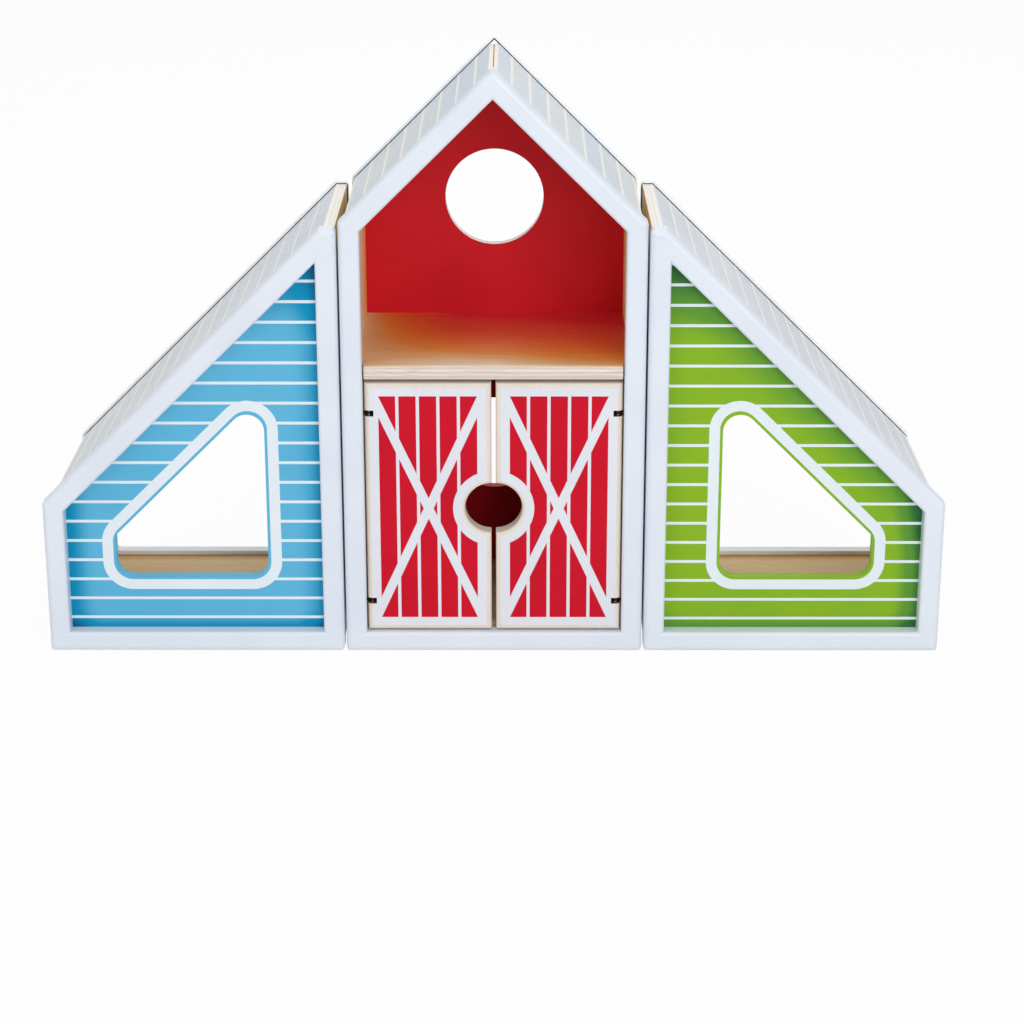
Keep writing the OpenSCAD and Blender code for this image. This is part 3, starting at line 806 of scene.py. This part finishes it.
@dataclass(frozen=True)
class WingPrint:
    """A wing's front panel: coloured boards with white lines and a white band round the window.

    Window and panel are given by their near, far and low edges and by out plus height on the slope.
    """

    name: str
    colour: Colour
    shade: Colour
    # edge and deep: the boards' colour under painted shade near the frame's bars, with a printed darkening.
    edge: Colour
    deep: Colour
    # cut: a lighter colour on the window's cut edge, painted light that lifts the shade there.
    cut: Colour
    dusk: Dusk
    first: float
    pitch: float
    white: Colour = srgb(226, 234, 238)
    white_shade: Colour = srgb(216, 225, 232)
    line: float = 2.0
    window: tuple[float, float, float, float] = (51.0, 153.5, 51.0, 234.3)
    window_round: float = 11.0
    band_start: float = 1.9
    band: float = 7.2
    line_blur: float = 0.15
    skin: float = 0.3
    cut_reach: float = 0.4
    cut_skin: float = 0.2
    panel: tuple[float, float, float, float] = (14.0, 186.0, 14.0, 287.2)

    def beyond(self, paint: Paint, value: Feed, low: float, high: float) -> NodeSocket:
        """How far a value lies outside a range, and 0 inside it."""
        return paint.most(paint.minus(low, value), paint.minus(value, high), 0.0)

    def from_window(self, paint: Paint, out: NodeSocket) -> NodeSocket:
        """Distance from the window's edge, measured from the four sides of the core of its round shape.

        Args:
            paint: The tree.
            out: Distance from the barn's side.

        Returns:
            The distance, which is 0 on the window's edge.
        """
        near, far, low, slope = self.window
        r = self.window_round
        near, far, low, slope = near + r, far - r, low + r, slope - r * math.sqrt(2)
        over = paint.minus(paint.times(paint.plus(out, paint.z), DIAGONAL), slope * DIAGONAL)
        along = paint.times(paint.minus(out, paint.z), DIAGONAL)
        sides = (
            (paint.minus(paint.z, low), self.beyond(paint, out, near, far)),
            (paint.minus(out, far), self.beyond(paint, paint.z, low, slope - far)),
            (paint.minus(out, near), self.beyond(paint, paint.z, low, slope - near)),
            (over, self.beyond(paint, along, (2 * near - slope) * DIAGONAL, (2 * far - slope) * DIAGONAL)),
        )
        return paint.minus(paint.least(*[paint.reach(a, b) for a, b in sides]), r)

    def darkened(self, paint: Paint, out: NodeSocket) -> NodeSocket:
        """How dark painted shade, with the printed darkening, makes the print at each place, from the distances to the
        frame's bars.

        Args:
            paint: The tree.
            out: Distance from the barn's side.

        Returns:
            A share from 0 to 1.
        """
        near, far, low, slope = self.panel
        dusk = self.dusk
        to_slope = paint.times(paint.minus(slope, paint.plus(out, paint.z)), DIAGONAL)
        sides = (
            (dusk.near, paint.ramp(paint.minus(out, near), dusk.reach, dusk.behind)),
            (dusk.far, paint.ramp(paint.minus(far, out), dusk.reach, dusk.behind)),
            (dusk.slope, paint.ramp(to_slope, dusk.slope_reach, dusk.behind)),
            (dusk.low, paint.ramp(paint.minus(paint.z, low), dusk.low_reach, dusk.behind)),
            (dusk.tip, paint.ramp(paint.z, dusk.tip_from, dusk.tip_to)),
        )
        total: Feed = 0.0
        for share, side in sides:
            total = paint.scaled(side, share, total)
        return paint.least(total, 1.0)

    def material(self) -> Material:
        """Makes the material.

        Returns:
            The material.
        """
        paint = Paint(self.name)
        fibre = paint.grain(Grain.ALONG_X).outputs["Fibre"]
        out = paint.minus(paint.unsigned(paint.x), WING_START)
        from_hole = self.from_window(paint, out)
        end = self.band_start + self.band
        band = paint.times(paint.over(from_hole, self.band_start), paint.under(from_hole, end))
        outside_band = paint.minus(1.0, paint.under(from_hole, end - self.line_blur, self.line_blur))
        lines = paint.times(paint.lines(paint.z, self.first, self.pitch, self.line), outside_band)
        on_white = paint.times(paint.under(paint.y, PANEL_FRONT + self.skin, FACE_BLUR), paint.most(lines, band))
        # Painted shade of the frame's bars over the recessed panel, with a printed darkening: the colour turns towards
        # edge, then deep.
        dusk = self.darkened(paint, out)
        first, second = paint.ramp(dusk, 0.0, 0.5), paint.ramp(dusk, 0.5, 1.0)
        coat, low = (
            paint.mix(second, paint.mix(first, tone, self.edge), self.deep) for tone in (self.colour, self.shade))
        film = paint.film(coat, low, fibre, telegraph=0.4, gloss=0.46).outputs
        white = paint.film(self.white, self.white_shade, fibre, telegraph=0.2, gloss=0.46).outputs["Color"]
        # Painted light: the window's cut edge takes the lighter cut colour.
        painted_light_on_cut = paint.times(
            paint.under(from_hole, self.cut_reach, FACE_BLUR),
            paint.over(paint.y, PANEL_FRONT + self.cut_skin, FACE_BLUR),
        )
        colour = paint.mix(painted_light_on_cut, paint.mix(on_white, film["Color"], white), self.cut)
        return paint.close(colour, film["Roughness"], film["Relief"], bump=0.08, specular=0.12)


@dataclass(frozen=True)
class Steel:
    """Steel hardware, bright zinc or darkened."""

    name: str
    colour: Colour = srgb(196, 198, 202)
    shade: Colour = srgb(150, 152, 158)
    roughness: float = 0.32

    def material(self) -> Material:
        """Makes the material.

        Returns:
            The material.
        """
        paint = Paint(self.name)
        patch = paint.noise(paint.point, scale=0.9, detail=4.0, twist=0.6)
        fine = paint.noise(paint.point, scale=6.0, detail=2.0)
        colour = paint.mix(paint.ramp(patch, 0.35, 0.7), self.colour, self.shade)
        rough = paint.scaled(fine, 0.16, self.roughness - 0.08)
        return paint.close(colour, rough, fine, bump=0.04, metallic=1.0, specular=0.5)


@dataclass(frozen=True)
class Beech:
    """Plain turned beech of the dowels."""

    name: str = "beech_dowel"
    colour: Colour = srgb(224, 190, 146)
    shade: Colour = srgb(196, 154, 108)

    def material(self) -> Material:
        """Makes the material.

        Returns:
            The material.
        """
        paint = Paint(self.name)
        grain = paint.grain(Grain.ALONG_Y).outputs
        colour = paint.mix(paint.ramp(grain["Fibre"], 0.35, 0.7), self.colour, self.shade)
        return paint.close(colour, paint.scaled(grain["Fibre"], 0.1, 0.5), grain["Relief"])


def dress(node: str, material: Material) -> None:
    """Gives a CAD node its finish.

    Args:
        node: The node's name.
        material: The finish.
    """
    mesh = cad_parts[node].data
    mesh.materials.clear()
    mesh.materials.append(material)
    log.info("%s wears %s", node, material.name)


@dataclass(frozen=True)
class Lamp:
    """A soft square lamp: its name, place, width and power in watts."""

    name: str
    place: Direction
    width: float
    power: float


@dataclass
class Stage:
    """The pale floor, the lamps and the camera."""

    camera_place: Direction = (0.014, -1.51, 0.675)
    camera_dip: float = 17.66
    camera_turn: float = -0.07
    camera_shift: float = -0.16
    lens: float = 81.6
    sensor: float = 36.0
    floor_half: float = 6.0
    floor_drop: float = 0.0002
    floor_colour: Colour = srgb(242, 242, 243)
    floor_shade: Colour = srgb(238, 238, 240)
    floor_lift: float = 0.95
    world_colour: Colour = (0.95, 0.97, 1.0, 1.0)
    world_strength: float = 0.42
    aim: Direction = (0.0, 0.0, 0.18)
    lamps: tuple[Lamp, ...] = (
        Lamp("key_lamp", (0.8, -2.5, 1.15), 1.4, 31.0),
        Lamp("fill_lamp", (-1.7, -1.9, 1.2), 1.8, 10.0),
        Lamp("top_lamp", (0.0, -0.2, 2.6), 2.0, 19.0),
        Lamp("back_lamp", (0.2, 2.0, 1.6), 1.8, 9.0),
    )

    def build(self) -> None:
        """Builds camera, floor, lamps and world."""
        bpy.context.scene.view_settings.view_transform = "Standard"
        self.place_camera()
        self.lay_floor()
        self.light_world()
        for lamp in self.lamps:
            self.hang(lamp)
        log.info("stage is set")

    def place_camera(self) -> None:
        """Puts the camera at the photograph's angle."""
        data = bpy.data.cameras.new("camera")
        data.lens = self.lens
        data.sensor_width = self.sensor
        data.sensor_fit = "AUTO"
        data.shift_y = self.camera_shift
        camera = bpy.data.objects.new("camera", data)
        camera.location = self.camera_place
        camera.rotation_euler = (math.radians(90 - self.camera_dip), 0.0, -math.radians(self.camera_turn))
        bpy.context.scene.collection.objects.link(camera)
        bpy.context.scene.camera = camera

    def lay_floor(self) -> None:
        """Lays the floor, which shows white where the camera sees it and keeps part of the shadow."""
        deselect()
        bpy.ops.mesh.primitive_plane_add(size=2 * self.floor_half, location=(0, 0, -self.floor_drop))
        floor = bpy.context.object
        floor.name = "floor"
        bpy.ops.object.transform_apply(location=True, rotation=True, scale=True)
        paint = Paint("floor_paper")
        mottle = paint.noise(paint.point, scale=0.004, detail=2.0)
        colour = paint.mix(mottle, self.floor_colour, self.floor_shade)
        floor.data.materials.append(paint.close(colour, 0.85, specular=0.1, lift=self.floor_lift))

    def light_world(self) -> None:
        """Lights the scene from all round, with white behind it for the camera and in metal."""
        world = bpy.data.worlds.new("studio")
        bpy.context.scene.world = world
        world.use_nodes = True
        sheet = Sheet(world.node_tree)
        sheet.tree.nodes.clear()
        soft, white = (
            sheet.add("ShaderNodeBackground", {"Color": colour, "Strength": strength}).outputs[0]
            for colour, strength in ((self.world_colour, self.world_strength), (WHITE, 1.0)))
        both = sheet.add("ShaderNodeMixShader", {0: sheet.seen_ray(), 1: soft, 2: white})
        sheet.add("ShaderNodeOutputWorld", {"Surface": both.outputs[0]})

    def hang(self, lamp: Lamp) -> None:
        """Hangs a lamp that looks at the barn.

        Args:
            lamp: The lamp.
        """
        data = bpy.data.lights.new(lamp.name, "AREA")
        data.size = lamp.width
        data.energy = lamp.power
        hung = bpy.data.objects.new(lamp.name, data)
        hung.location = lamp.place
        hung.rotation_euler = (Vector(self.aim) - Vector(lamp.place)).to_track_quat("-Z", "Y").to_euler()
        bpy.context.scene.collection.objects.link(hung)


@dataclass
class Barn:
    """The tall middle module: frames, walls, roofs, back panel, floor and loft."""

    wall: float = 97.0
    inner_wall: float = 90.0
    slope: float = 395.757
    under: float = 385.858
    floor: float = 9.0
    loft_top: float = 203.0
    loft_thickness: float = 10.0
    loft_end: float = 85.9
    golden_below: float = 304.0
    plank: float = 12.1
    plank_line: float = 1.8

    def build(self) -> None:
        """Dresses every node of the module."""
        dress("barn_front_frame", WhitePaint("front_frame_white").material())
        limits = tuple(
            limit for sign in (1.0, -1.0) for limit in (
                ((sign, 0.0, 0.0), self.wall), ((sign * DIAGONAL, 0.0, DIAGONAL), self.slope * DIAGONAL)))
        rear = RearFramePaint("barn_rear_white", limits=limits, golden_below=self.golden_below)
        dress("barn_rear_frame", rear.material())
        dress("barn_back_panel", RedPaint().material())
        floor = Board((0.0, 0.0, 1.0), self.floor, grain=Grain.ALONG_X)
        dress("barn_floor", Plywood("barn_floor_wood", floor).material())
        loft = Board((0.0, 0.0, -1.0), -self.loft_top, self.loft_thickness, Grain.ALONG_X)
        # The loft wears painted bounce light and shade on its top and a painted shadow at its nose's ends.
        dress("loft_board", Plywood(
            "loft_wood", loft, face=srgb(252, 245, 229), shade=srgb(206, 176, 134), plies=7.0, contrast=0.3,
            warmth=Warmth(LOFT_BOUNCE_AND_SHADE, slant=0.19, fan=0.0165, skin=0.8, elsewhere=srgb(236, 238, 248)),
            specular=0.35, coat=0.1, joint=self.loft_end).material())
        for side in Side:
            word, sign = side.word, float(side.value)
            # The walls wear painted bounce light on their inner faces.
            dress(f"barn_{word}_wall", Plywood(
                f"barn_{word}_wall_wood", Board((sign, 0.0, 0.0), self.inner_wall), face=srgb(250, 245, 222),
                shade=srgb(226, 200, 160), warmth=Warmth(WALL_BOUNCE_LIGHT)).material())
            roof = Board((sign * DIAGONAL, 0.0, DIAGONAL), self.under * DIAGONAL, grain=Grain.ALONG_Y)
            wood = Plywood(
                f"barn_{word}_roof_wood", roof, face=srgb(246, 239, 226), shade=srgb(228, 210, 182), contrast=0.45)
            dress(f"barn_{word}_roof", RoofPrint(
                f"barn_{word}_roof_print", wood, first=self.plank, pitch=self.plank, line=self.plank_line,
                low_end=self.wall).material())
        dress("barn_dowels", Beech().material())


@dataclass
class Door:
    """One door leaf with its pins and the screw eyes that it turns on."""

    side: Side
    axis_out: float = 82.2
    axis_y: float = -63.0
    eye_heights: tuple[float, float] = (36.0, 170.0)
    ring_radius: float = 1.78
    ring_steps: int = 40
    wire: float = 0.7
    wire_steps: int = 14
    shank_end: float = 11.6
    shank_gap: float = 0.2
    shank_radius: float = 0.85
    shank_steps: int = 24
    thread_cuts: int = 19
    thread_start: int = 6
    thread_pinch: float = 0.8
    smooth_below: float = 40.0

    def build(self, print_finish: Material, pin: Material, eye: Material) -> None:
        """Dresses the leaf and its pins and models the screw eyes.

        Args:
            print_finish: The doors' print.
            pin: Finish of the pins.
            eye: Finish of the eyes.
        """
        word = self.side.word
        dress(f"{word}_door", print_finish)
        dress(f"{word}_hinge_pins", pin)
        eyes = self.make_eyes(eye)
        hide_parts(f"{word}_hinge_eyes")
        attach(eyes, "barn")
        log.info("%s door hangs on %s", word, eyes.name)

    def make_eyes(self, finish: Material) -> Object:
        """Models both screw eyes of the door as one piece: wire rings on threaded shanks.

        Args:
            finish: The eyes' finish.

        Returns:
            The finished piece.
        """
        sign = self.side.value
        length = (self.shank_end - self.ring_radius - self.shank_gap) * MM
        parts: list[Object] = []
        for height in self.eye_heights:
            centre = Vector((sign * self.axis_out, self.axis_y, height)) * MM
            deselect()
            bpy.ops.mesh.primitive_torus_add(
                location=centre, major_radius=self.ring_radius * MM, minor_radius=self.wire * MM,
                major_segments=self.ring_steps, minor_segments=self.wire_steps)
            parts.append(bpy.context.object)
            deselect()
            middle = centre + Vector((sign * (self.ring_radius * MM + self.shank_gap * MM + length / 2), 0, 0))
            bpy.ops.mesh.primitive_cylinder_add(
                vertices=self.shank_steps, radius=self.shank_radius * MM, depth=length, location=middle,
                rotation=(0, math.pi / 2, 0))
            parts.append(bpy.context.object)
            self.thread(parts[-1])
        deselect()
        for part in parts:
            part.select_set(True)
        bpy.context.view_layer.objects.active = parts[0]
        bpy.ops.object.join()
        eyes = bpy.context.object
        eyes.name = f"{self.side.word}_screw_eyes"
        eyes.data.name = eyes.name
        bpy.ops.object.transform_apply(location=True, rotation=True, scale=True)
        bpy.ops.object.shade_smooth_by_angle(angle=math.radians(self.smooth_below))
        eyes.data.materials.clear()
        eyes.data.materials.append(finish)
        return eyes

    def thread(self, shank: Object) -> None:
        """Cuts shallow thread grooves into a shank by subdividing it and pinching every second ring.

        Args:
            shank: The plain shank, which stands along its own z.
        """
        bpy.context.view_layer.objects.active = shank
        bpy.ops.object.mode_set(mode="EDIT")
        bpy.ops.mesh.select_all(action="DESELECT")
        bpy.ops.object.mode_set(mode="OBJECT")
        for edge in shank.data.edges:
            a, b = (shank.data.vertices[i].co for i in edge.vertices)
            edge.select = abs(a.z - b.z) > 1e-5
        bpy.ops.object.mode_set(mode="EDIT")
        bpy.ops.mesh.subdivide(number_cuts=self.thread_cuts)
        bpy.ops.object.mode_set(mode="OBJECT")
        heights = sorted({round(v.co.z, 7) for v in shank.data.vertices})
        pinched = set(heights[self.thread_start:-1:2])
        for vertex in shank.data.vertices:
            if round(vertex.co.z, 7) in pinched:
                vertex.co.x *= self.thread_pinch
                vertex.co.y *= self.thread_pinch


@dataclass
class Wing:
    """One lean-to module beside the barn, with its places counted from its inner side."""

    side: Side
    print_finish: WingPrint
    wall: float = 194.0
    party: float = 1.5
    outer_wall: float = 187.0
    slope: float = 302.757
    under: float = 292.858
    flat: float = 294.257
    floor_top: float = 16.0
    golden_below: float = 114.0
    plank: float = 11.8
    plank_line: float = 1.4
    plank_start: float = 8.5

    def build(self) -> None:
        """Dresses every node of the wing."""
        sign, wing = float(self.side.value), f"{self.side.word}_wing"
        dress(f"{wing}_front_frame", WhitePaint(f"{wing}_front_white").material())
        limits = (
            ((sign, 0.0, 0.0), WING_START + self.wall),
            ((-sign, 0.0, 0.0), -WING_START - self.party),
            ((sign * DIAGONAL, 0.0, DIAGONAL), (WING_START + self.slope) * DIAGONAL),
            ((0.0, 0.0, 1.0), self.flat),
        )
        rear = RearFramePaint(f"{wing}_rear_white", limits=limits, golden_below=self.golden_below)
        dress(f"{wing}_rear_frame", rear.material())
        dress(f"{wing}_front_panel", self.print_finish.material())
        # The floor wears painted shade at its back, and the inner wall painted bounce light on its face to the barn.
        boards = (
            Plywood(
                f"{wing}_floor_wood", Board((0.0, 0.0, -1.0), -self.floor_top, grain=Grain.ALONG_X),
                face=srgb(240, 210, 158), shade=srgb(208, 162, 102), warmth=Warmth(FLOOR_BACK_SHADOW)),
            Plywood(
                f"{wing}_inner_wall_wood", Board((sign, 0.0, 0.0), WING_START + self.party),
                face=srgb(248, 246, 240), shade=srgb(232, 222, 204), contrast=0.22,
                warmth=Warmth(PARTY_BOUNCE_LIGHT, skin=0.4)),
            Plywood(
                f"{wing}_outer_wall_wood", Board((sign, 0.0, 0.0), WING_START + self.outer_wall, grain=Grain.ALONG_Y)),
        )
        for board in boards:
            dress(board.name.removesuffix("_wood"), board.material())
        roof = Board((sign * DIAGONAL, 0.0, DIAGONAL), (WING_START + self.under) * DIAGONAL, grain=Grain.ALONG_Y)
        dress(f"{wing}_roof", RoofPrint(
            f"{wing}_roof_print", Plywood(f"{wing}_roof_wood", roof), first=WING_START + self.plank_start + self.plank,
            pitch=self.plank, line=self.plank_line, low_end=WING_START + self.wall, film=srgb(226, 231, 237),
            other=srgb(229, 232, 234), shade=srgb(208, 213, 218), bare=srgb(250, 251, 250), telegraph=0.5).material())
        dress(f"{wing}_dowels", Beech(f"{wing}_beech").material())


def main() -> None:
    """Builds the scene in order."""
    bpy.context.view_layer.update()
    Stage().build()
    Barn().build()
    bright = Steel("bright_zinc").material()
    dark = Steel("dark_steel", colour=srgb(52, 48, 46), shade=srgb(30, 28, 27), roughness=0.42).material()
    door_print = DoorPrint().material()
    for side in Side:
        Door(side).build(door_print, bright, dark)
    blue = WingPrint(
        "blue_boards", colour=srgb(96, 180, 214), shade=srgb(84, 168, 206), edge=srgb(0, 140, 182),
        deep=srgb(0, 92, 140), cut=srgb(102, 199, 236),
        dusk=Dusk(near=0.42, far=0.57, slope=0.0, low=0.56, tip=0.52), first=21.4, pitch=13.98)
    green = WingPrint(
        "green_boards", colour=srgb(136, 178, 34), shade=srgb(122, 168, 38), edge=srgb(88, 145, 50),
        deep=srgb(44, 106, 52), cut=srgb(154, 195, 34),
        dusk=Dusk(near=0.1, far=0.8, slope=0.42, low=0.6, tip=0.5), first=20.6, pitch=13.88)
    Wing(Side.LEFT, blue).build()
    Wing(Side.RIGHT, green).build()
    for node in ("barn_screws", "left_wing_screws", "right_wing_screws"):
        dress(node, bright)


if __name__ == "__main__":
    main()
